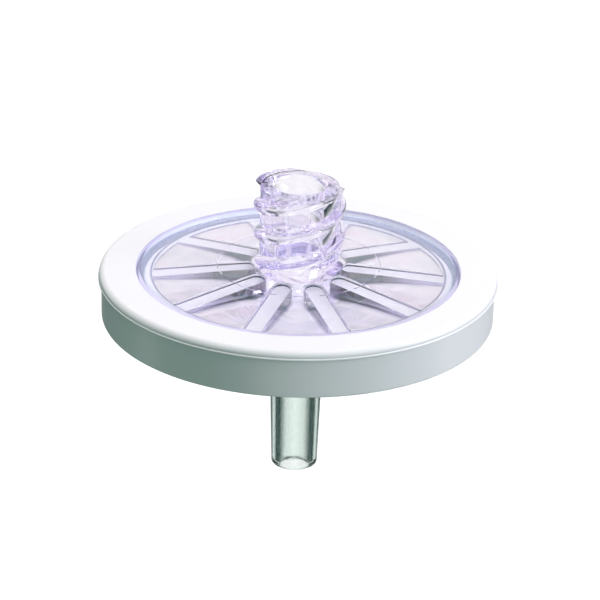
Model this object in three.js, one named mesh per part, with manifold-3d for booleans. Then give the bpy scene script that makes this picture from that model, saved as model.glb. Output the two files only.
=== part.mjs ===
// A 33 mm syringe filter: two clear mouldings clamp a membrane disc between them, and a white
// sealing band moulded round their flanges holds the stack together.
//
// Millimetres, +Z up, along the flow axis. Heights in the dimensions below are measured from the
// flat top of the sealing band. The finished filter is lowered by mouthHeight, so the origin lies
// at the centre of the inlet's mouth, where a syringe is locked on.

import * as THREE from 'three';
import { mergeVertices } from 'three/addons/utils/BufferGeometryUtils.js';
import Module from 'manifold-3d';

const wasm = await Module();
wasm.setup();

// ---------------------------------------------------------------- driving dimensions

const segments = 72;             // facets round every turned surface
const fitGap = 0.05;             // left between two pieces that touch

// Sealing band
const bandRadius = 16.75;        // at the lip round the top
const skirtRadius = 16.5;        // below the lip
const bandBore = 13.6;           // the opening that shows the clear housings
const bandHeight = 4.1;
const bandWall = 0.9;            // thickness above and below the flanges
const lipHeight = 0.75;
const lipRounding = 0.45;
const skirtRounding = 0.25;

// Flanges and rims of both housings
const flangeRadius = 15.1;
const rimCrownRadius = 13.25;    // inner edge of the rim's flat crown
const rimFootRadius = 12.75;     // foot of the rim's slope
const plateEdgeRadius = 12.35;   // where the conical plate begins
const rimSlopeDepth = 0.28;
const plateEdgeDepth = 0.5;      // of the inlet plate's edge below the band's top

// Membrane
const membraneRadius = 13.4;
const membraneTop = -1.6;
const membraneThickness = 0.2;

// Chambers on both sides of the membrane
const chamberRadius = 12.16;
const inletChamberEdge = 0.27;   // depth of the inlet chamber at its edge
const inletCeilingSlope = 0.036; // rise of its ceiling for each millimetre towards the hub
const outletPlateThickness = 1.15;
const outletChamberEdge = 0.35;  // depth of the outlet chamber at its edge
const plateSlope = 0.16;         // rise of both conical plates for each millimetre of radius

// Inlet: female Luer cone with a double-start locking thread
const mouthHeight = 7.47;
const hubRadius = 3.3;
const hubFootHeight = 1.15;
const flareRadius = 4.06;
const flareHeight = 0.83;
const luerMouthRadius = 2.15;
const luerTaper = 0.03;          // change of radius for each millimetre: a 6 % cone
const mouthChamfer = 0.15;
const mouthRounding = 0.12;

// Locking thread, measured on the start that passes the -X side at threadPassHeight
const threadStarts = 2;
const threadLead = 5;
const threadPassHeight = 5.72;
const threadCrestRadius = 3.84;
const threadCrestWidth = 0.6;
const threadCrestRounding = 0.14;
const threadUpperFlank = 0.25;   // height of the steep flank that faces the mouth
const threadLowerFlank = 0.53;   // height of the slanted flank below the crest
const threadTopAngle = 357;      // degrees round from +X where this start runs out at the mouth
const threadSweep = 530;         // degrees from one end of a start to the other
const threadStepsPerTurn = 40;
const threadRunOut = 9;          // degrees over which each end sinks into the hub
const threadEaseAngle = 67;      // the last stretch below the mouth, which climbs less
const threadEaseDrop = 0.36;     // by this much in all

// Ribs that keep the membrane off the inlet plate
const inletRibCount = 10;
const inletRibWidth = 1.65;
const inletRibStart = 3.3;

// Ribs that carry the membrane on the outlet side: long ones, and short ones between them
const outletRibCount = 10;
const outletRibWidth = 0.8;
const longRibStart = 2.6;
const shortRibStart = 5.4;

// Outlet: male Luer slip tip on a tapered neck
const tipDepth = 18.27;
const tipRadius = 1.975;
const tipRounding = 0.22;
const neckRadius = 3.1;
const neckEndRadius = 2.8;
const neckEndDepth = 9.3;
const neckShoulder = 0.5;
const outletBoreRadius = 1.2;    // at the tip
const outletBoreDraft = 0.012;   // change of radius for each millimetre
const outletFunnelRadius = 2;

// ---------------------------------------------------------------- geometry helpers

const degrees = Math.PI / 180;

// Turns a three.js geometry into a solid whose shared vertices are merged.
function solidFrom(geometry) {
  geometry.deleteAttribute('normal');
  geometry.deleteAttribute('uv');
  const merged = mergeVertices(geometry, 1e-5);
  const corners = merged.index.array;
  const faces = [];
  for (let i = 0; i < corners.length; i += 3) {
    const [a, b, c] = [corners[i], corners[i + 1], corners[i + 2]];
    if (a !== b && b !== c && c !== a) faces.push(a, b, c);
  }
  return new wasm.Manifold(new wasm.Mesh({
    numProp: 3,
    vertProperties: new Float32Array(merged.attributes.position.array),
    triVerts: new Uint32Array(faces),
  }));
}

function geometryFrom(solid) {
  const mesh = solid.getMesh();
  const geometry = new THREE.BufferGeometry();
  geometry.setAttribute('position', new THREE.BufferAttribute(mesh.vertProperties, 3));
  geometry.setIndex(new THREE.BufferAttribute(mesh.triVerts, 1));
  geometry.computeVertexNormals();
  return geometry;
}

// Turns a profile of [radius, height] points, listed counter-clockwise, about the Z axis.
function turned(profile) {
  const loop = [...profile, profile[0]].map(([radius, height]) => new THREE.Vector2(radius, height));
  const geometry = new THREE.LatheGeometry(loop, segments);
  geometry.rotateX(Math.PI / 2);
  return solidFrom(geometry);
}

// Points along a quarter-round edge about a centre, from one angle to another in degrees.
function arc(centreRadius, centreHeight, radius, from, to, steps = 4) {
  const points = [];
  for (let i = 0; i <= steps; i++) {
    const angle = (from + (to - from) * i / steps) * degrees;
    points.push([centreRadius + radius * Math.cos(angle), centreHeight + radius * Math.sin(angle)]);
  }
  return points;
}

// One straight radial bar with a rounded inner end, standing between two heights.
function radialBar(angle, start, end, width, bottom, top) {
  const half = width / 2;
  const outline = new THREE.Shape();
  outline.moveTo(end, -half);
  outline.lineTo(end, half);
  outline.lineTo(start + half, half);
  outline.absarc(start + half, 0, half, Math.PI / 2, 3 * Math.PI / 2, false);
  const geometry = new THREE.ExtrudeGeometry(outline, {
    depth: top - bottom,
    bevelEnabled: false,
    curveSegments: 8,
  });
  geometry.translate(0, 0, bottom);
  geometry.rotateZ(angle);
  return solidFrom(geometry);
}

function radialBars(count, firstAngle, start, width, bottom, top) {
  const bars = [];
  for (let i = 0; i < count; i++) {
    const angle = firstAngle + 2 * Math.PI * i / count;
    bars.push(radialBar(angle, start, chamberRadius + 0.5, width, bottom, top));
  }
  return bars.reduce((all, bar) => all.add(bar));
}

function clearPlastic() {
  return new THREE.MeshStandardMaterial({
    color: 0xe6e0f4,
    roughness: 0.06,
    metalness: 0,
    transparent: true,
    opacity: 0.35,
  });
}

// ---------------------------------------------------------------- inlet housing

const inletLand = membraneTop + fitGap;

// Height of the inlet plate's conical top.
function inletPlateTop(radius) {
  return flareHeight - plateSlope * (radius - flareRadius);
}

function inletBody() {
  const luerFloorRadius = luerMouthRadius - luerTaper * (mouthHeight - inletLand);
  const coneTop = mouthHeight - mouthChamfer;
  return turned([
    [luerFloorRadius, inletLand],
    [flangeRadius, inletLand],
    [flangeRadius, -bandWall - fitGap],
    [bandBore - fitGap, -bandWall - fitGap],
    [bandBore - fitGap, 0],
    [rimCrownRadius, 0],
    [rimCrownRadius - 0.1, -0.05],
    [rimFootRadius, -rimSlopeDepth],
    [plateEdgeRadius + 0.1, -plateEdgeDepth + 0.02],
    [plateEdgeRadius, inletPlateTop(plateEdgeRadius)],
    [flareRadius, flareHeight],
    [hubRadius + 0.3, hubFootHeight - 0.1],
    [hubRadius + 0.08, hubFootHeight + 0.08],
    [hubRadius, hubFootHeight + 0.35],
    ...arc(hubRadius - mouthRounding, mouthHeight - mouthRounding, mouthRounding, 0, 90, 2),
    [luerMouthRadius + mouthChamfer, mouthHeight],
    [luerMouthRadius, coneTop],
  ]);
}

// The space above the membrane. Its ceiling rises less than the plate's top, so the plate thickens inwards.
function inletChamber() {
  const ceiling = (radius) => inletLand + inletChamberEdge + inletCeilingSlope * (chamberRadius - radius);
  const below = inletLand - 1;
  return turned([
    [0.5, below],
    [chamberRadius, below],
    [chamberRadius, ceiling(chamberRadius)],
    [inletRibStart, ceiling(inletRibStart)],
    [0.5, ceiling(inletRibStart)],
  ]);
}

// One start of the locking thread. Its section is swept as a straight bar, then wrapped round the hub.
function threadRidge(start) {
  const inner = hubRadius - 0.25;
  const crestHalf = threadCrestWidth / 2;
  const top = crestHalf + threadUpperFlank;
  const bottom = -crestHalf - threadLowerFlank;
  const section = new THREE.Shape([
    new THREE.Vector2(inner, bottom - 0.1),
    new THREE.Vector2(hubRadius, bottom),
    new THREE.Vector2(threadCrestRadius - threadCrestRounding, -crestHalf),
    new THREE.Vector2(threadCrestRadius, -crestHalf + threadCrestRounding),
    new THREE.Vector2(threadCrestRadius, crestHalf - threadCrestRounding),
    new THREE.Vector2(threadCrestRadius - threadCrestRounding, crestHalf),
    new THREE.Vector2(hubRadius, top),
    new THREE.Vector2(inner, top + 0.1),
  ]);
  const bar = new THREE.ExtrudeGeometry(section, {
    depth: threadSweep,
    steps: Math.round(threadStepsPerTurn * threadSweep / 360),
    bevelEnabled: false,
  });
  const points = bar.attributes.position;
  for (let i = 0; i < points.count; i++) {
    const travelled = points.getZ(i);
    const turn = threadTopAngle - travelled;
    const fromEnd = Math.min(travelled, threadSweep - travelled);
    const sunk = Math.max(0, 1 - fromEnd / threadRunOut);
    const radius = points.getX(i) - sunk * sunk * (threadCrestRadius - inner - 0.05);
    const eased = Math.max(0, 1 - travelled / threadEaseAngle);
    const height = threadPassHeight + threadLead * (turn - 180) / 360 - threadEaseDrop * eased;
    const angle = (turn + start * 360 / threadStarts) * degrees;
    points.setXYZ(i, radius * Math.cos(angle), radius * Math.sin(angle), height + points.getY(i));
  }
  return solidFrom(bar);
}

// Everything above the mouth, which trims the thread level with it.
function aboveMouth() {
  const block = new THREE.CylinderGeometry(2 * hubRadius, 2 * hubRadius, 4, segments);
  block.rotateX(Math.PI / 2);
  block.translate(0, 0, mouthHeight + 2);
  return solidFrom(block);
}

function inletHousing() {
  const ribs = radialBars(inletRibCount, 0, inletRibStart, inletRibWidth, inletLand, hubFootHeight);
  let housing = inletBody().subtract(inletChamber().subtract(ribs));
  for (let start = 0; start < threadStarts; start++) {
    housing = housing.add(threadRidge(start).subtract(aboveMouth()));
  }
  return new THREE.Mesh(geometryFrom(housing), clearPlastic());
}

// ---------------------------------------------------------------- outlet housing

const membraneBottom = membraneTop - membraneThickness;
const outletLand = membraneBottom - fitGap;
const outletFloorEdge = outletLand - outletChamberEdge;

// Height of the outlet chamber's conical floor, and of the plate's outside below it.
function outletFloor(radius) {
  return outletFloorEdge - plateSlope * (chamberRadius - radius);
}

function outletUnderside(radius) {
  return outletFloor(radius) - outletPlateThickness;
}

function outletBoreAt(depth) {
  return outletBoreRadius + outletBoreDraft * (tipDepth - depth);
}

function outletBody() {
  const coneRadius = (depth) => tipRadius + luerTaper * (tipDepth - depth);
  const shoulderDepth = neckEndDepth + neckShoulder;
  const rimInner = membraneRadius + fitGap;
  const funnelDepth = -outletFloor(outletFunnelRadius) + 0.9;
  const tipCorner = arc(coneRadius(tipDepth) - tipRounding, -tipDepth + tipRounding, tipRounding, -90, 0, 3);
  return turned([
    [outletBoreAt(tipDepth), -tipDepth],
    ...tipCorner,
    [coneRadius(shoulderDepth), -shoulderDepth],
    [neckEndRadius - 0.08, -neckEndDepth - 0.1],
    [neckEndRadius, -neckEndDepth],
    [neckRadius, outletUnderside(flareRadius) - 0.7],
    [neckRadius + 0.25, outletUnderside(flareRadius) - 0.25],
    [flareRadius, outletUnderside(flareRadius)],
    [plateEdgeRadius, outletUnderside(plateEdgeRadius)],
    [rimFootRadius, outletUnderside(plateEdgeRadius) - 0.15],
    [rimCrownRadius, -bandHeight],
    [bandBore - fitGap, -bandHeight],
    [bandBore - fitGap, -bandHeight + bandWall + fitGap],
    [flangeRadius, -bandHeight + bandWall + fitGap],
    [flangeRadius, inletLand - fitGap],
    [rimInner, inletLand - fitGap],
    [rimInner, outletLand],
    [chamberRadius, outletLand],
    [outletFunnelRadius, outletLand],
    [outletBoreAt(funnelDepth), -funnelDepth],
  ]);
}

// The space below the membrane, down to its conical floor.
function outletChamber() {
  const above = outletLand + 1;
  return turned([
    [outletBoreAt(0), outletFloor(outletFunnelRadius)],
    [outletFunnelRadius, outletFloor(outletFunnelRadius)],
    [chamberRadius, outletFloorEdge],
    [chamberRadius, above],
    [outletBoreAt(0), above],
  ]);
}

function outletHousing() {
  const bottom = outletFloor(0);
  const long = radialBars(outletRibCount, 0, longRibStart, outletRibWidth, bottom, outletLand);
  const short = radialBars(
    outletRibCount, Math.PI / outletRibCount, shortRibStart, outletRibWidth, bottom, outletLand,
  );
  const chamber = outletChamber().subtract(long).subtract(short);
  return new THREE.Mesh(geometryFrom(outletBody().subtract(chamber)), clearPlastic());
}

// ---------------------------------------------------------------- filter membrane

function filterMembrane() {
  const disc = new THREE.CylinderGeometry(membraneRadius, membraneRadius, membraneThickness, segments);
  disc.rotateX(Math.PI / 2);
  disc.translate(0, 0, membraneTop - membraneThickness / 2);
  const paper = new THREE.MeshStandardMaterial({ color: 0xf1eef3, roughness: 0.75, metalness: 0 });
  return new THREE.Mesh(geometryFrom(solidFrom(disc)), paper);
}

// ---------------------------------------------------------------- sealing band

function sealingBand() {
  const channelRadius = flangeRadius + fitGap;
  const ring = turned([
    [bandBore, -bandHeight],
    ...arc(skirtRadius - skirtRounding, -bandHeight + skirtRounding, skirtRounding, -90, 0, 3),
    [skirtRadius, -lipHeight],
    [bandRadius, -lipHeight + 0.06],
    ...arc(bandRadius - lipRounding, -lipRounding, lipRounding, 0, 90, 5),
    [bandBore, 0],
    [bandBore, -bandWall],
    [channelRadius, -bandWall],
    [channelRadius, -bandHeight + bandWall],
    [bandBore, -bandHeight + bandWall],
  ]);
  const white = new THREE.MeshStandardMaterial({ color: 0xf4f2f5, roughness: 0.3, metalness: 0 });
  return new THREE.Mesh(geometryFrom(ring), white);
}

// ---------------------------------------------------------------- the filter

const pieces = {
  inlet_housing: inletHousing(),
  filter_membrane: filterMembrane(),
  outlet_housing: outletHousing(),
  sealing_band: sealingBand(),
};

const filter = new THREE.Group();
for (const [name, mesh] of Object.entries(pieces)) {
  mesh.name = name;
  filter.add(mesh);
}
filter.position.z = -mouthHeight;

export default filter;
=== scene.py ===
from math import cos, pi, radians, sin, tau

import bmesh
import bpy
from mathutils import Matrix, Vector


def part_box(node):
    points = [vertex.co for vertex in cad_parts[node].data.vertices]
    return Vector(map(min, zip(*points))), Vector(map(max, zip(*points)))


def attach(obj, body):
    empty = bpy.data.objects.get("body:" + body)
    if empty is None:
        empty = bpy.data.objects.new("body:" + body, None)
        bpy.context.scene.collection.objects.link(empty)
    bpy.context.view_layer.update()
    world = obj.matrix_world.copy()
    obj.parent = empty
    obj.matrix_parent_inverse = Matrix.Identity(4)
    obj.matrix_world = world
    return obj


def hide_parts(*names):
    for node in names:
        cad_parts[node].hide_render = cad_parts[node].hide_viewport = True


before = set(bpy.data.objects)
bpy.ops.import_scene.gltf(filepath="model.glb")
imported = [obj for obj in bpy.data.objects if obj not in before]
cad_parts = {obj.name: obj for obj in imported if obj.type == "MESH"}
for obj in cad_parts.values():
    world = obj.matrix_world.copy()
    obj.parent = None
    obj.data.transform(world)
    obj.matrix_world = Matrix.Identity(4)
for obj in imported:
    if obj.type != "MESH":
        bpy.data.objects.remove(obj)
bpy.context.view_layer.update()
mm = 0.001


def boxOf(node):
    return [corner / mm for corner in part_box(node)]


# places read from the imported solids, in millimetres; heights count from the band's flat top
bandLow, bandHigh = boxOf("sealing_band")
membraneLow, membraneHigh = boxOf("filter_membrane")
inletHigh = boxOf("inlet_housing")[1]
outletLow = boxOf("outlet_housing")[0]
bandTop = bandHigh.z
bandUnder = bandLow.z - bandTop
mouth = inletHigh.z - bandTop
tipEnd = outletLow.z - bandTop
flangeRadius = inletHigh.x

# how the pieces meet, in millimetres
fits = {
    "pressed": 0.01,  # how far the inlet's land and ribs press into the membrane
    "bite": 0.02,  # how far the moulded band and the clear flanges sink into each other
    "flangeGap": 0.03,  # left between the two flanges
    "membraneGap": 0.05,  # left round the membrane and under it
    "rimDrop": 0.01,  # how far the clear rims stay short of the band's flat faces
}
inletLand = membraneHigh.z - bandTop - fits["pressed"]
outletRim = inletLand - fits["flangeGap"]
print("frame:", len(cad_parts), "solids, band", round(2 * bandHigh.x, 2), "mm across")


# camera

view = {
    "distance": 220.0,
    "elevation": 23.5,
    "aim": (0.2, 0.0, -3.0),  # from the middle of the band's top
    "roll": 1.34,
    "lens": 157.4,
    "nearest": 0.01,  # metres
}


def placeCamera():
    tilt = radians(view["elevation"])
    place = Vector((0, -view["distance"] * cos(tilt), view["distance"] * sin(tilt) + bandTop))
    aim = Vector(view["aim"]) + Vector((0, 0, bandTop))
    ahead = (aim - place).normalized()
    level = ahead.cross(Vector((0, 0, 1))).normalized()
    right = Matrix.Rotation(-radians(view["roll"]), 3, ahead) @ level
    up = right.cross(ahead)
    lens = bpy.data.cameras.new("camera")
    lens.lens = view["lens"]
    lens.clip_start = view["nearest"]
    camera = bpy.data.objects.new("camera", lens)
    bpy.context.scene.collection.objects.link(camera)
    facing = Matrix((right, up, -ahead)).transposed().to_4x4()
    camera.matrix_world = Matrix.Translation(place * mm) @ facing
    bpy.context.scene.camera = camera


placeCamera()
print("camera placed")


# mesh helpers; every piece is built in millimetres about the flow axis, with the band's top at zero

near = 1e-4  # points closer than this are one point
overrun = 0.5  # how far a cutting tool runs past what it cuts


def outline(corners, steps=6):
    # a closed loop in the XZ plane; a third number starts a round corner that far from its point
    bm = bmesh.new()
    points = [bm.verts.new((corner[0], 0, corner[1])) for corner in corners]
    bm.faces.new(points)
    for point, corner in zip(points, corners):
        if len(corner) > 2:
            bmesh.ops.bevel(
                bm, geom=[point], offset=corner[2], offset_type="OFFSET", segments=steps,
                profile=0.5, affect="VERTICES", material=-1,
            )
    bmesh.ops.delete(bm, geom=bm.faces[:], context="FACES_ONLY")
    return bm


def turned(corners, rounds=240, steps=6):
    bm = outline(corners, steps)
    bmesh.ops.spin(
        bm, geom=bm.verts[:] + bm.edges[:], cent=(0, 0, 0), axis=(0, 0, 1), dvec=(0, 0, 0),
        angle=tau, steps=rounds, use_merge=True,
    )
    bmesh.ops.remove_doubles(bm, verts=bm.verts[:], dist=near)
    bmesh.ops.recalc_face_normals(bm, faces=bm.faces[:])
    return bm


def swept(corners, places, steps=4):
    # a section carried through a list of matrices, closed at both ends
    bm = outline(corners, steps)
    ring = bm.edges[:]
    bmesh.ops.contextual_create(bm, geom=ring)
    bmesh.ops.transform(bm, matrix=places[0], verts=bm.verts[:])
    for before, after in zip(places, places[1:]):
        grown = bmesh.ops.extrude_edge_only(bm, edges=ring)["geom"]
        ring = [part for part in grown if isinstance(part, bmesh.types.BMEdge)]
        points = [part for part in grown if isinstance(part, bmesh.types.BMVert)]
        bmesh.ops.transform(bm, matrix=after @ before.inverted(), verts=points)
    bmesh.ops.contextual_create(bm, geom=ring)
    bmesh.ops.recalc_face_normals(bm, faces=bm.faces[:])
    return bm


def radialBars(ribs, first, start, end, low, high):
    # straight bars with a rounded inner end, repeated round the axis from the first one's angle
    bm = bmesh.new()
    half = ribs["width"] / 2
    bmesh.ops.create_circle(bm, cap_ends=True, segments=32, radius=half)
    outer = [point for point in bm.verts if point.co.x > near]
    bmesh.ops.delete(bm, geom=outer, context="VERTS")
    bmesh.ops.translate(bm, verts=bm.verts[:], vec=(start + half, 0, low))
    ends = sorted(bm.verts, key=lambda point: abs(point.co.y))[-2:]
    tails = [bm.verts.new((end, point.co.y, low)) for point in ends]
    for point, tail in zip(ends, tails):
        bm.edges.new((point, tail))
    bm.edges.new(tails)
    floor = bmesh.ops.contextual_create(bm, geom=bm.edges[:])["faces"]
    risen = bmesh.ops.extrude_face_region(bm, geom=floor)["geom"]
    points = [part for part in risen if isinstance(part, bmesh.types.BMVert)]
    bmesh.ops.translate(bm, verts=points, vec=(0, 0, high - low))
    bmesh.ops.recalc_face_normals(bm, faces=bm.faces[:])
    if ribs["rounding"]:
        rims = [edge for edge in bm.edges if all(abs(p.co.z - low) < near for p in edge.verts)]
        bmesh.ops.bevel(
            bm, geom=rims, offset=ribs["rounding"], offset_type="OFFSET", segments=5, profile=0.5,
            affect="EDGES", material=-1, clamp_overlap=True,
        )
    bmesh.ops.rotate(bm, verts=bm.verts[:], cent=(0, 0, 0), matrix=Matrix.Rotation(first, 3, "Z"))
    more = ribs["count"] - 1
    bmesh.ops.spin(
        bm, geom=bm.verts[:] + bm.edges[:] + bm.faces[:], cent=(0, 0, 0), axis=(0, 0, 1),
        dvec=(0, 0, 0), angle=tau * more / ribs["count"], steps=more, use_duplicate=True,
    )
    bmesh.ops.recalc_face_normals(bm, faces=bm.faces[:])
    return bm


def solid(name, bm):
    mesh = bpy.data.meshes.new(name)
    bm.to_mesh(mesh)
    bm.free()
    piece = bpy.data.objects.new(name, mesh)
    bpy.context.scene.collection.objects.link(piece)
    return piece


def baked(piece):
    # takes the modifiers into the mesh
    graph = bpy.context.evaluated_depsgraph_get()
    made = bpy.data.meshes.new_from_object(piece.evaluated_get(graph))
    piece.modifiers.clear()
    old = piece.data
    piece.data = made
    bpy.data.meshes.remove(old)


def carve(piece, tool, operation="DIFFERENCE"):
    # cuts the tool out of the piece or joins it on, and uses the tool up
    modifier = piece.modifiers.new(operation.lower(), "BOOLEAN")
    modifier.operation = operation
    modifier.solver = "EXACT"
    modifier.object = tool
    baked(piece)
    bpy.data.objects.remove(tool)


def finished(piece, material, node, sharp=28):
    # to metres, smooth where the surface is, then tied to the frame
    piece.data.transform(Matrix.Translation((0, 0, bandTop * mm)) @ Matrix.Scale(mm, 4))
    piece.data.shade_smooth()
    piece.data.set_sharp_from_angle(angle=radians(sharp))
    modifier = piece.modifiers.new("normals", "WEIGHTED_NORMAL")
    modifier.mode = "FACE_AREA"
    modifier.weight = 100
    modifier.keep_sharp = True
    baked(piece)
    piece.data.materials.clear()
    piece.data.materials.append(material)
    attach(piece, "root")
    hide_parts(node)
    print(piece.name, "made with", len(piece.data.polygons), "faces")


# shader helpers; in the looks below, a noise is its scale and detail, and a soft edge is the two values
# between which it rises or falls


class Wire:
    # an output socket that can be added, multiplied and so on; each step adds one Math node
    def __init__(self, tree, socket):
        self.tree = tree
        self.socket = socket

    def __add__(self, other):
        return self.tree.maths("ADD", self, other)

    def __sub__(self, other):
        return self.tree.maths("SUBTRACT", self, other)

    def __mul__(self, other):
        return self.tree.maths("MULTIPLY", self, other)

    def __truediv__(self, other):
        return self.tree.maths("DIVIDE", self, other)

    def __rsub__(self, other):
        return self.tree.maths("SUBTRACT", other, self)

    def __rtruediv__(self, other):
        return self.tree.maths("DIVIDE", other, self)

    __radd__ = __add__
    __rmul__ = __mul__


class Tree:
    def __init__(self, owner):
        owner.use_nodes = True
        self.nodes = owner.node_tree.nodes
        self.links = owner.node_tree.links
        self.nodes.clear()

    def add(self, kind, settings=None, inputs=None, output=0):
        # any node: its settings, then its sockets' values or links; a colour is three numbers
        node = self.nodes.new(kind)
        for name, value in (settings or {}).items():
            setattr(node, name, value)
        for name, value in (inputs or {}).items():
            socket = node.inputs[name]
            if isinstance(value, Wire):
                self.links.new(value.socket, socket)
            else:
                socket.default_value = (*value, 1) if socket.type == "RGBA" else value
        return Wire(self, node.outputs[output]) if node.outputs else None

    def maths(self, operation, *values):
        return self.add("ShaderNodeMath", {"operation": operation}, dict(enumerate(values)))

    def vector(self, operation, *values, output="Vector"):
        settings = {"operation": operation}
        return self.add("ShaderNodeVectorMath", settings, dict(enumerate(values)), output)

    def part(self, vector, axis):
        return self.add("ShaderNodeSeparateXYZ", None, {0: vector}, axis)

    def noise(self, place, scale, detail):
        return self.add("ShaderNodeTexNoise", None, {"Vector": place, "Scale": scale, "Detail": detail})

    def ray(self, kind):
        return self.add("ShaderNodeLightPath", output=kind)

    def mix(self, factor, first, second):
        return self.add("ShaderNodeMix", {"data_type": "RGBA"}, {0: factor, 6: first, 7: second}, 2)

    def blend(self, factor, first, second):
        return self.add("ShaderNodeMixShader", None, {0: factor, 1: first, 2: second})

    def smooth(self, value, low, high):
        # 0 below the low value, 1 above the high one
        settings = {"interpolation_type": "SMOOTHSTEP"}
        return self.add("ShaderNodeMapRange", settings, {0: value, 1: low, 2: high})

    def past(self, value, edge, reach):
        # 0 before an edge, 1 past it, soft over the reach on both sides
        return self.smooth(value, edge - reach, edge + reach)

    def between(self, value, rise, fall):
        # 1 inside a range; rise and fall are the pairs of values over which it starts and ends
        return self.smooth(value, *rise) * (1 - self.smooth(value, *fall))

    def finish(self, shader, kind="ShaderNodeOutputMaterial", **others):
        self.add(kind, None, {"Surface": shader, **others})


def moved(edge, by):
    return [value + by for value in edge]


def objectPlace(tree):
    return tree.add("ShaderNodeTexCoord", output="Object")


def radiusOf(tree, place):
    # millimetres from the flow axis
    flat = tree.vector("MULTIPLY", place, (1 / mm, 1 / mm, 0))
    return tree.vector("LENGTH", flat, output="Value")


def heightOf(tree, place):
    # millimetres above the band's top
    return tree.part(place, "Z") * (1 / mm) - bandTop


# sealing band

band = {
    "bore": 13.6,
    "boreRound": 0.06,
    "footRound": 0.1,
    "skirt": 16.5,
    "skirtRound": 0.22,
    "lip": 0.75,
    "lipRound": 0.5,
    "bead": 0.12,
    "beadDepth": 0.06,  # how far the lip's bead stands out from its side
    "beadRound": 0.05,
    "creaseRound": 0.04,
    "wall": 0.9,
}
whiteLook = {
    "tone": (0.94, 0.92, 0.945),
    "roughness": 0.32,
    "grain": (2500.0, 2.0),
    "grainStrength": 0.04,
    "grainHeight": 0.0001,
    # painted glow, emitted in the band's channel round the flanges
    "paintedGlow": (0.21, 0.24, 0.28),
    "paintedGlowTop": (-0.7, -0.3),  # in thicknesses of the wall
    "paintedGlowMargin": 0.05,
    "paintedGlowEdge": 0.01,
    "seamAngle": 191.0,
    "seamWidth": (0.02, 0.1),
    "seamEnd": 0.05,
    "seamHeight": 0.00003,
}


def whitePlastic():
    look = whiteLook
    material = bpy.data.materials.new("white plastic")
    tree = Tree(material)
    place = objectPlace(tree)
    height = heightOf(tree, place)
    bump = tree.add("ShaderNodeBump", None, {
        "Strength": look["grainStrength"],
        "Distance": look["grainHeight"],
        "Height": tree.noise(place, *look["grain"]),
    })
    # painted glow: an emission in the channel the band closes round the flanges, standing in for light
    # that soaks through the white plastic
    floor = bandUnder + band["wall"] - look["paintedGlowMargin"]
    edge = flangeRadius + look["paintedGlowMargin"]
    top = [share * band["wall"] for share in look["paintedGlowTop"]]
    deep = tree.between(height, (floor - look["paintedGlowEdge"], floor), top)
    within = 1 - tree.smooth(radiusOf(tree, place), edge, edge + look["paintedGlowEdge"])
    paintedGlow = tree.mix(deep * within, (0, 0, 0), look["paintedGlow"])
    # the mould's parting line, down both sides of the skirt
    across = Matrix.Rotation(radians(look["seamAngle"]), 3, "Z") @ Vector((0, 1 / mm, 0))
    aside = tree.maths("ABSOLUTE", tree.vector("DOT_PRODUCT", place, across, output="Value"))
    underLip = 1 - tree.smooth(height, -band["lip"] - look["seamEnd"], -band["lip"])
    ridge = tree.add("ShaderNodeBump", None, {
        "Strength": 1.0,
        "Distance": look["seamHeight"],
        "Height": (1 - tree.smooth(aside, *look["seamWidth"])) * underLip,
        "Normal": bump,
    })
    tree.finish(tree.add("ShaderNodeBsdfPrincipled", None, {
        "Base Color": look["tone"],
        "Roughness": look["roughness"],
        "Normal": ridge,
        # the painted glow in the channel is emitted here
        "Emission Color": paintedGlow,
        "Emission Strength": 1.0,
    }))
    return material


def sealingBand():
    bore = band["bore"]
    skirt = band["skirt"]
    lip = bandHigh.x
    side = lip - band["beadDepth"]
    beadTop = -band["lip"] + band["bead"]
    channelTop = -band["wall"]
    channelFloor = bandUnder + band["wall"]
    bm = turned([
        (bore, bandUnder, band["footRound"]),
        (skirt, bandUnder, band["skirtRound"]),
        (skirt, -band["lip"], band["creaseRound"]),
        (lip, -band["lip"], band["beadRound"]),
        (lip, beadTop, band["beadRound"]),
        (side, beadTop + band["bead"] / 2, band["creaseRound"]),
        (side, 0, band["lipRound"]),
        (bore, 0, band["boreRound"]),
        (bore, channelTop),
        (flangeRadius, channelTop),
        (flangeRadius, channelFloor),
        (bore, channelFloor),
    ], rounds=288, steps=8)
    finished(solid("band_overmoulding", bm), whitePlastic(), "sealing_band")


# clear plastic of both housings

clearLook = {
    "ior": 1.49,
    "roughness": 0.02,
    "depth": 100.0,  # how fast the body colour deepens with the plastic's thickness
    "waves": (220.0, 2.0),
    "waveStrength": 0.05,
    "waveHeight": 0.0001,
    "shadowTint": (0.78, 0.78, 0.8),
    "shadowEdge": (0.06, 0.12, 0.14),
    "edge": (0.4, 0.75),
    "edgeTop": (0.0, 0.5),
}


def clearPlastic(name, body, tint, roughness, relief=None):
    # glass to the eye, a tinted veil to the lamps, deeper below the band's top where their light only
    # grazes a wall
    look = clearLook
    material = bpy.data.materials.new(name)
    tree = Tree(material)
    place = objectPlace(tree)
    waves = tree.noise(place, *look["waves"])
    bump = tree.add("ShaderNodeBump", None, {
        "Strength": look["waveStrength"],
        "Distance": look["waveHeight"],
        "Height": waves + relief(tree, place) if relief else waves,
    })
    glass = tree.add("ShaderNodeBsdfPrincipled", None, {
        "Base Color": tint(tree, place),
        "IOR": look["ior"],
        "Transmission Weight": 1.0,
        "Roughness": roughness(tree, place),
        "Normal": bump,
    })
    shadow = tree.ray("Is Shadow Ray")
    grazing = tree.add("ShaderNodeLayerWeight", None, {"Blend": 0.5}, "Facing")
    inside = 1 - tree.smooth(heightOf(tree, place), *look["edgeTop"])
    share = inside * tree.smooth(grazing, *look["edge"])
    sides = []
    for veil in (look["shadowTint"], look["shadowEdge"]):
        through = tree.add("ShaderNodeBsdfTransparent", None, {"Color": veil})
        sides.append(tree.blend(shadow, glass, through))
    depth = {"Color": body, "Density": look["depth"]}
    tree.finish(tree.blend(share, *sides), Volume=tree.add("ShaderNodeVolumeAbsorption", None, depth))
    return material


# inlet housing

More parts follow.
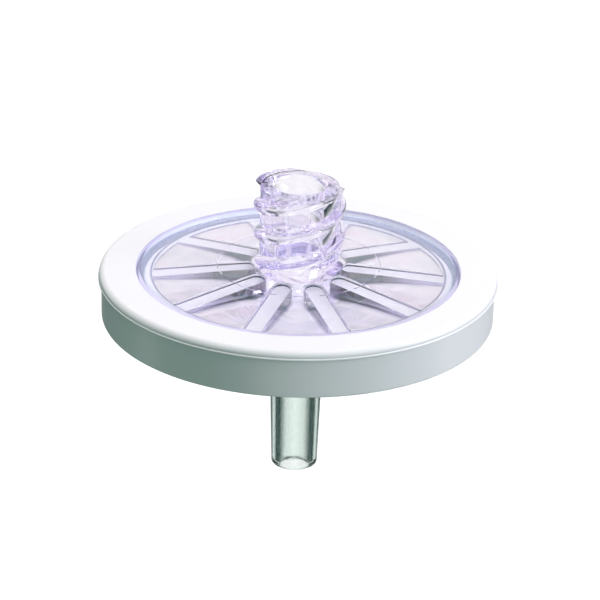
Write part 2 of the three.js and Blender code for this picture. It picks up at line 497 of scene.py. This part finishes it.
plate = {
    "slope": 0.16,
    "edge": 12.35,
    "valleyIn": 0.2,  # the shallow groove where the plate meets its rim
    "valleyOut": 0.05,
    "valleyRise": 0.02,
    "valleyRound": 0.04,
    "flare": 4.06,
    "flareHeight": 0.83,
    "flareRound": 0.1,
    "witness": 6.84,  # a fine ring on the cone
    "witnessHalf": 0.04,
    "witnessHeight": 0.035,
    "rimCrown": 13.25,
    "rimFoot": 12.75,
    "rimFootDepth": 0.28,
    "rimRound": 0.08,
}
hub = {
    "radius": 3.3,
    "foot": 1.15,
    "footRound": 0.15,
    "bore": 2.15,
    "taper": 0.03,
    "chamfer": 0.15,
    "chamferRound": 0.04,
    "mouthRound": 0.12,
}
thread = {
    "starts": 2,
    "lead": 5.0,
    "passHeight": 5.72,  # where the first start passes the -X side
    "crest": 3.84,
    "crestWidth": 0.6,
    "crestRound": 0.24,
    "upperFlank": 0.25,
    "upperRound": 0.06,
    "lowerFlank": 0.53,
    "lowerRound": 0.1,
    "rootDepth": 0.25,
    "rootFlare": 0.1,
    "topAngle": 357,
    "sweep": 530,
    "stepsPerTurn": 144,
    "runOut": 9,  # degrees over which an end sinks into the hub
    "runOutDepth": 0.1,
    "easeAngle": 67,  # degrees over which the upper end levels off
    "easeDrop": 0.36,
}
inletRibs = {
    "count": 10,
    "width": 1.65,
    "rounding": 0.2,
    "start": 3.3,
    "startRound": 0.1,
    "chamber": 12.16,
    "chamberEdge": 0.27,
    "chamberRound": 0.06,
    "ceilingSlope": 0.036,
    "toolBore": 0.5,  # the tool that cuts the chamber is a ring, open inside the hub's bore
}
inletLook = {
    "body": (0.8, 0.72, 0.94),
    "tint": (0.985, 0.98, 0.995),
    # painted shade down the ribs' flanks and the chamber's wall, near black by the hub
    "flankShadeInner": (0.0, 0.006, 0.01),
    "flankShadeOuter": (0.22, 0.2, 0.38),
    "flankShadeDepth": (0.01, 0.05),
    "flankShadeStart": (-0.3, 0.0),  # counted outwards from the ribs' inner ends
    "fadeInside": 3.0,  # counted outwards from the ribs' inner ends
    "fadeOutside": 1.0,  # counted inwards from the chamber's wall
    "rimBottom": (-0.6, -0.5),
    "rimTop": (0.0, 0.3),
    # painted blue-grey shade on the rim's slope; the roughness after it is the slope's duller surface
    "slope": (0.82, 0.9, 0.97),
    "slopeRoughness": 0.22,
    "slopeReach": 0.1,
    # painted shade in the groove at the plate's edge
    "grooveShade": (0.2, 0.22, 0.34),
    "grooveShadeWidth": (0.05, 0.12),
    "crown": (0.7, 0.64, 0.9),
    "crownEdge": (-0.15, 0.05),  # counted outwards from the crown's radius
}


def plateTop(radius):
    return plate["flareHeight"] - plate["slope"] * (radius - plate["flare"])


def chamberCeiling(radius):
    rise = inletRibs["ceilingSlope"] * (inletRibs["chamber"] - radius)
    return inletLand + inletRibs["chamberEdge"] + rise


def inletTintAndPaintedShade(tree, place):
    # painted shade down the ribs' flanks and the chamber's wall, darkest near the hub; painted
    # blue-grey shade on the rim's slope, painted shade in the groove at the plate's edge, and violet
    # round the rim's crown
    look = inletLook
    start, end = inletRibs["start"], inletRibs["chamber"]
    radius = radiusOf(tree, place)
    height = heightOf(tree, place)
    ceiling = chamberCeiling(0) - inletRibs["ceilingSlope"] * radius
    # painted shade down the ribs' flanks and the chamber's wall, near black by the hub and lighter
    # outwards
    flankShade = tree.smooth(ceiling - height, *look["flankShadeDepth"])
    flankShade = flankShade * tree.smooth(radius, *moved(look["flankShadeStart"], start))
    outward = tree.smooth(radius, start + look["fadeInside"], end - look["fadeOutside"])
    flankShades = tree.mix(outward, look["flankShadeInner"], look["flankShadeOuter"])
    tone = tree.mix(flankShade, look["tint"], flankShades)
    # painted blue-grey shade on the rim's slope
    rim = tree.between(height, look["rimBottom"], look["rimTop"])
    slope = rim * tree.past(radius, plate["rimFoot"], look["slopeReach"])
    tone = tree.mix(slope, tone, look["slope"])
    # painted shade in the groove at the plate's edge
    fromEdge = tree.maths("ABSOLUTE", radius - plate["edge"])
    grooveShade = rim * (1 - tree.smooth(fromEdge, *look["grooveShadeWidth"]))
    tone = tree.mix(grooveShade, tone, look["grooveShade"])
    crown = rim * tree.smooth(radius, *moved(look["crownEdge"], plate["rimCrown"]))
    return tree.mix(crown, tone, look["crown"])


def inletRoughness(tree, place):
    # the rim's slope is duller than the rest
    look = inletLook
    low = 1 - tree.smooth(heightOf(tree, place), *look["rimTop"])
    slope = low * tree.past(radiusOf(tree, place), plate["rimFoot"], look["slopeReach"] / 2)
    return slope * look["slopeRoughness"] + clearLook["roughness"]


def threadPlaces(start):
    # a start winds down from the mouth, and both its ends sink into the hub
    count = round(thread["stepsPerTurn"] * thread["sweep"] / 360)
    depth = thread["crest"] - hub["radius"] + thread["runOutDepth"]
    places = []
    for i in range(count + 1):
        travelled = thread["sweep"] * i / count
        turn = thread["topAngle"] - travelled
        fromEnd = min(travelled, thread["sweep"] - travelled)
        sunk = max(0, 1 - fromEnd / thread["runOut"]) ** 2 * depth
        eased = max(0, 1 - travelled / thread["easeAngle"])
        height = thread["passHeight"] + thread["lead"] * (turn - 180) / 360 - thread["easeDrop"] * eased
        angle = radians(turn + start * 360 / thread["starts"])
        places.append(Matrix.Rotation(angle, 4, "Z") @ Matrix.Translation((-sunk, 0, height)))
    return places


def threadRidge(start):
    crest = thread["crestWidth"] / 2
    top = crest + thread["upperFlank"]
    bottom = -crest - thread["lowerFlank"]
    root = hub["radius"] - thread["rootDepth"]
    bm = swept([
        (root, bottom - thread["rootFlare"]),
        (hub["radius"], bottom, thread["lowerRound"]),
        (thread["crest"], -crest, thread["crestRound"]),
        (thread["crest"], crest, thread["crestRound"]),
        (hub["radius"], top, thread["upperRound"]),
        (root, top + thread["rootFlare"]),
    ], threadPlaces(start))
    # cut off level with the mouth
    everything = bm.verts[:] + bm.edges[:] + bm.faces[:]
    cut = bmesh.ops.bisect_plane(
        bm, geom=everything, dist=1e-6, plane_co=(0, 0, mouth), plane_no=(0, 0, 1), clear_outer=True,
    )["geom_cut"]
    rims = [part for part in cut if isinstance(part, bmesh.types.BMEdge)]
    bmesh.ops.holes_fill(bm, edges=rims)
    bmesh.ops.recalc_face_normals(bm, faces=bm.faces[:])
    return solid("ridge", bm)


def inletBody():
    # the hub, the plate and the flange, before the chamber is cut
    bandBore = band["bore"] + fits["bite"]
    flange = flangeRadius + fits["bite"]
    shoulder = fits["bite"] - band["wall"]
    floorBore = hub["bore"] - hub["taper"] * (mouth - inletLand)
    valleyIn = plate["edge"] - plate["valleyIn"]
    valleyOut = plate["edge"] + plate["valleyOut"]
    valley = plateTop(plate["edge"]) + plate["valleyRise"]
    witness = plate["witness"]
    witnessIn = witness - plate["witnessHalf"]
    witnessOut = witness + plate["witnessHalf"]
    return solid("inlet_moulding", turned([
        (floorBore, inletLand),
        (flange, inletLand),
        (flange, shoulder),
        (bandBore, shoulder),
        (bandBore, -fits["rimDrop"]),
        (plate["rimCrown"], -fits["rimDrop"], plate["rimRound"]),
        (plate["rimFoot"], -plate["rimFootDepth"], plate["rimRound"]),
        (valleyOut, valley, plate["valleyRound"]),
        (valleyIn, plateTop(valleyIn)),
        (witnessOut, plateTop(witnessOut)),
        (witness, plateTop(witness) + plate["witnessHeight"]),
        (witnessIn, plateTop(witnessIn)),
        (plate["flare"], plate["flareHeight"], plate["flareRound"]),
        (hub["radius"], hub["foot"], hub["footRound"]),
        (hub["radius"], mouth, hub["mouthRound"]),
        (hub["bore"] + hub["chamfer"], mouth, hub["chamferRound"]),
        (hub["bore"], mouth - hub["chamfer"], hub["chamferRound"]),
    ], rounds=288))


def inletChamber():
    # the space under the plate, less the ribs that stand in it
    start, end = inletRibs["start"], inletRibs["chamber"]
    inner = chamberCeiling(start)
    below = inletLand - overrun
    chamber = solid("chamber", turned([
        (inletRibs["toolBore"], below),
        (end, below),
        (end, chamberCeiling(end), inletRibs["chamberRound"]),
        (start, inner, inletRibs["startRound"]),
        (inletRibs["toolBore"], inner),
    ]))
    bars = radialBars(inletRibs, 0, start, end + overrun, inletLand, hub["foot"])
    carve(chamber, solid("bars", bars))
    return chamber


def inletHousing():
    body = inletBody()
    carve(body, inletChamber())
    for start in range(thread["starts"]):
        carve(body, threadRidge(start), "UNION")
    material = clearPlastic("clear plastic, inlet", inletLook["body"], inletTintAndPaintedShade, inletRoughness)
    finished(body, material, "inlet_housing")


# filter membrane

membrane = {"edgeRound": 0.03}
membraneLook = {
    "pale": (0.95, 0.96, 0.95),
    "cool": (0.62, 0.64, 0.63),
    "warm": (0.71, 0.64, 0.65),
    # painted contact shadow along the ribs' flanks
    "mottled": (0.75, 0.73, 0.72),
    "contactShadowTone": (0.46, 0.43, 0.54),
    "roughness": 0.8,
    "warmth": (260.0, 1.0),
    "warmthEdge": (0.35, 0.65),
    "blotches": (700.0, 3.0),
    "blotchEdge": (0.3, 0.7),
    "hubEdge": (4.0, 5.6),
    "wallReach": 0.05,
    "sectorEdge": (-0.3, 0.1),  # this and the next two are counted outwards from a rib's flank
    # painted contact shadow beside each rib's flank
    "contactShadowRise": (-0.2, -0.1),
    "contactShadowFall": (0.05, 0.15),
    "contactShadowStart": (0.5, 1.0),  # counted from the ribs' inner ends
}


def membraneFilm():
    # pale where the ribs and lands press on it, greyer and faintly mottled in the sectors between them,
    # and darkened by a painted contact shadow along the ribs' flanks
    look = membraneLook
    material = bpy.data.materials.new("membrane film")
    tree = Tree(material)
    place = objectPlace(tree)
    radius = radiusOf(tree, place)
    pitch = tau / inletRibs["count"]
    turns = tree.maths("ARCTAN2", tree.part(place, "Y"), tree.part(place, "X")) * (1 / pitch)
    offset = tree.maths("FRACT", turns + 0.5) - 0.5
    aside = tree.maths("ABSOLUTE", tree.maths("SINE", offset * pitch) * radius)
    fromRib = aside - inletRibs["width"] / 2
    inside = 1 - tree.past(radius, inletRibs["chamber"], look["wallReach"])
    sector = tree.smooth(fromRib, *look["sectorEdge"]) * tree.smooth(radius, *look["hubEdge"]) * inside
    warmth = tree.smooth(tree.noise(place, *look["warmth"]), *look["warmthEdge"])
    blotches = tree.smooth(tree.noise(place, *look["blotches"]), *look["blotchEdge"])
    grey = tree.mix(warmth, look["cool"], look["warm"])
    tone = tree.mix(sector, look["pale"], tree.mix(blotches, grey, look["mottled"]))
    # a painted contact shadow along each rib's flank
    contactShadow = tree.between(fromRib, look["contactShadowRise"], look["contactShadowFall"]) * inside
    contactShadow = contactShadow * tree.smooth(radius, *moved(look["contactShadowStart"], inletRibs["start"]))
    tree.finish(tree.add("ShaderNodeBsdfPrincipled", None, {
        "Base Color": tree.mix(contactShadow, tone, look["contactShadowTone"]),
        "Roughness": look["roughness"],
    }))
    return material


def membraneDisc():
    radius = membraneHigh.x
    low, high = membraneLow.z - bandTop, membraneHigh.z - bandTop
    bm = turned([
        (0, low),
        (radius, low, membrane["edgeRound"]),
        (radius, high, membrane["edgeRound"]),
        (0, high),
    ])
    finished(solid("membrane_disc", bm), membraneFilm(), "filter_membrane")


# outlet housing

outlet = {
    "floorEdge": -2.2,  # height of the chamber's floor at its wall
    "thickness": 1.15,
    "tip": 1.975,
    "tipRound": 0.24,
    "taper": 0.03,
    "bore": 1.2,
    "boreDraft": 0.012,
    "boreRound": 0.03,
    "neck": 3.1,
    "neckDrop": 0.45,
    "neckRound": 0.4,
    "neckEnd": 2.8,
    "neckEndDepth": 9.3,
    "neckEndRound": 0.12,
    "shoulder": 0.5,
    "shoulderRound": 0.15,
    "flareRound": 0.2,
    "rimFootDrop": 0.15,
    "funnel": 2.0,
    "funnelDepth": 0.9,
    "funnelRound": 0.05,
}
outletRibs = {"count": 10, "width": 0.8, "rounding": 0, "long": 2.6, "short": 5.4}
outletLook = {
    "body": (0.2, 0.62, 0.48),
    "tint": (1.0, 1.0, 1.0),
    "speck": (0.88, 0.95, 0.91),
    "speckEdge": (0.35, 0.65),
    "grain": (7000.0, 2.0),
    "frost": 0.14,
    "relief": 5.0,
}


def frosting(tree, place):
    # fine grain on the outlet cone, none on its plate
    start = -outlet["neckEndDepth"]
    cone = 1 - tree.smooth(heightOf(tree, place), start - outlet["shoulder"], start)
    return cone * tree.noise(place, *outletLook["grain"])


def outletTint(tree, place):
    specks = tree.smooth(frosting(tree, place), *outletLook["speckEdge"])
    return tree.mix(specks, outletLook["tint"], outletLook["speck"])


def outletRoughness(tree, place):
    return frosting(tree, place) * outletLook["frost"] + clearLook["roughness"]


def outletRelief(tree, place):
    return frosting(tree, place) * outletLook["relief"]


def outletFloor(radius):
    return outlet["floorEdge"] - plate["slope"] * (inletRibs["chamber"] - radius)


def outletUnder(radius):
    return outletFloor(radius) - outlet["thickness"]


def boreAt(depth):
    return outlet["bore"] + outlet["boreDraft"] * (-tipEnd - depth)


def coneAt(depth):
    return outlet["tip"] + outlet["taper"] * (-tipEnd - depth)


def outletBody(land):
    # the flange, the plate, the neck and the tip, before the chamber is cut
    bandBore = band["bore"] + fits["bite"]
    flange = flangeRadius + fits["bite"]
    shoulder = bandUnder + band["wall"] - fits["bite"]
    crown = bandUnder + fits["rimDrop"]
    rim = membraneHigh.x + fits["membraneGap"]
    coneTop = outlet["neckEndDepth"] + outlet["shoulder"]
    funnelDepth = outlet["funnelDepth"] - outletFloor(outlet["funnel"])
    underFlare = outletUnder(plate["flare"])
    underEdge = outletUnder(plate["edge"])
    return solid("outlet_moulding", turned([
        (boreAt(-tipEnd), tipEnd, outlet["boreRound"]),
        (coneAt(-tipEnd), tipEnd, outlet["tipRound"]),
        (coneAt(coneTop), -coneTop, outlet["shoulderRound"]),
        (outlet["neckEnd"], -outlet["neckEndDepth"], outlet["neckEndRound"]),
        (outlet["neck"], underFlare - outlet["neckDrop"], outlet["neckRound"]),
        (plate["flare"], underFlare, outlet["flareRound"]),
        (plate["edge"], underEdge, plate["rimRound"]),
        (plate["rimFoot"], underEdge - outlet["rimFootDrop"], plate["rimRound"]),
        (plate["rimCrown"], crown, plate["rimRound"]),
        (bandBore, crown),
        (bandBore, shoulder),
        (flange, shoulder),
        (flange, outletRim),
        (rim, outletRim),
        (rim, land),
        (inletRibs["chamber"], land),
        (outlet["funnel"], land),
        (boreAt(funnelDepth), -funnelDepth, outlet["funnelRound"]),
    ]))


def outletChamber(land):
    # the space over the plate, less the ribs that carry the membrane
    end = inletRibs["chamber"]
    above = land + overrun
    chamber = solid("chamber", turned([
        (boreAt(0), outletFloor(outlet["funnel"])),
        (outlet["funnel"], outletFloor(outlet["funnel"])),
        (end, outlet["floorEdge"], inletRibs["chamberRound"]),
        (end, above),
        (boreAt(0), above),
    ]))
    for first, start in ((0, outletRibs["long"]), (pi / outletRibs["count"], outletRibs["short"])):
        bars = radialBars(outletRibs, first, start, end + overrun, outletFloor(0), land)
        carve(chamber, solid("bars", bars))
    return chamber


def outletHousing():
    land = membraneLow.z - bandTop - fits["membraneGap"]
    body = outletBody(land)
    carve(body, outletChamber(land))
    material = clearPlastic(
        "clear plastic, outlet", outletLook["body"], outletTint, outletRoughness, outletRelief,
    )
    finished(body, material, "outlet_housing")


sealingBand()
membraneDisc()
inletHousing()
outletHousing()


# floor, world and lamps

white = (1, 1, 1)
stage = {
    "drop": 30.0,
    "radius": 900.0,
    "tone": (0.6, 0.6, 0.6),
    "glow": 0.62,
}
surround = {
    "brightSide": (0.6, 0.65, 0.45),
    "fade": (-0.35, 0.35),
    "dim": (0.16, 0.25, 0.215),
    "bright": (0.52, 0.515, 0.52),
    "screen": (1.0, 0.995, 1.0),
    "gap": (0.0, 0.035, 0.03),
    "gapTop": (-0.15, 0.1),
    "gapStart": (0.15, 0.62),
    "gapEnd": (0.99, 1.0),
    "bounces": 12,
}
# the clear plastic doesn't mirror the lamp overhead, which would blank out a whole sector of the plate
lamps = {
    "overhead": {
        "place": (0, 0, 395), "size": 80, "power": 0.79, "tint": (1, 0.98, 1), "mirrored": False,
    },
    "side": {
        "place": (290, -90, 90), "size": 170, "power": 0.56, "tint": (0.86, 0.91, 1), "mirrored": True,
    },
}


def surroundings(tree, direction):
    # what lights the part: bright behind, above and to the right, dim to the front left
    side = Vector(surround["brightSide"]).normalized()
    towards = tree.vector("DOT_PRODUCT", direction, side, output="Value")
    lights = tree.mix(tree.smooth(towards, *surround["fade"]), surround["dim"], surround["bright"])
    # what the clear plastic shows: white all round, with four dark gaps low between the screens
    height = tree.part(direction, "Z")
    flat = tree.maths("SQRT", 1 - height * height)
    aside = tree.maths("ABSOLUTE", tree.part(direction, "X") / flat)
    low = 1 - tree.smooth(height, *surround["gapTop"])
    gap = low * tree.between(aside, surround["gapStart"], surround["gapEnd"])
    screens = tree.mix(gap, surround["screen"], surround["gap"])
    clear = tree.maths("MINIMUM", tree.ray("Is Glossy Ray") + tree.ray("Is Transmission Ray"), 1)
    unscattered = 1 - tree.maths("MINIMUM", tree.ray("Diffuse Depth"), 1)
    return tree.mix(clear * unscattered, lights, screens)


def layFloor():
    material = bpy.data.materials.new("floor")
    tree = Tree(material)
    away = tree.vector("SUBTRACT", objectPlace(tree), (0, 0, bandTop * mm))
    direction = tree.vector("NORMALIZE", away)
    around = tree.add("ShaderNodeEmission", None, {"Color": surroundings(tree, direction)})
    pale = tree.add("ShaderNodeBsdfDiffuse", None, {"Color": stage["tone"]})
    glow = tree.add("ShaderNodeEmission", None, {"Color": white, "Strength": stage["glow"]})
    lit = tree.add("ShaderNodeAddShader", None, {0: pale, 1: glow})
    tree.finish(tree.blend(tree.ray("Is Camera Ray"), around, lit))
    bm = bmesh.new()
    bmesh.ops.create_circle(bm, cap_ends=True, segments=96, radius=stage["radius"] * mm)
    bmesh.ops.translate(bm, verts=bm.verts[:], vec=(0, 0, (outletLow.z - stage["drop"]) * mm))
    floor = solid("floor", bm)
    floor.data.materials.append(material)


def lightWorld():
    world = bpy.data.worlds.new("studio")
    bpy.context.scene.world = world
    tree = Tree(world)
    direction = tree.add("ShaderNodeTexCoord", output="Generated")
    around = tree.add("ShaderNodeBackground", None, {"Color": surroundings(tree, direction)})
    backdrop = tree.add("ShaderNodeBackground", None, {"Color": white})
    tree.finish(tree.blend(tree.ray("Is Camera Ray"), around, backdrop), "ShaderNodeOutputWorld")
    # light is turned back many times inside clear plastic
    bpy.context.scene.cycles.glossy_bounces = surround["bounces"]


def hangLamp(name):
    settings = lamps[name]
    light = bpy.data.lights.new(name, "AREA")
    light.size = settings["size"] * mm
    light.energy = settings["power"]
    light.color = settings["tint"]
    lamp = bpy.data.objects.new(name, light)
    bpy.context.scene.collection.objects.link(lamp)
    place = Vector(settings["place"])
    turn = place.to_track_quat("Z", "Y").to_matrix().to_4x4()
    lamp.matrix_world = Matrix.Translation(place * mm) @ turn
    lamp.visible_glossy = settings["mirrored"]


layFloor()
lightWorld()
for name in lamps:
    hangLamp(name)
bpy.context.scene.view_settings.view_transform = "Standard"
print("lit")
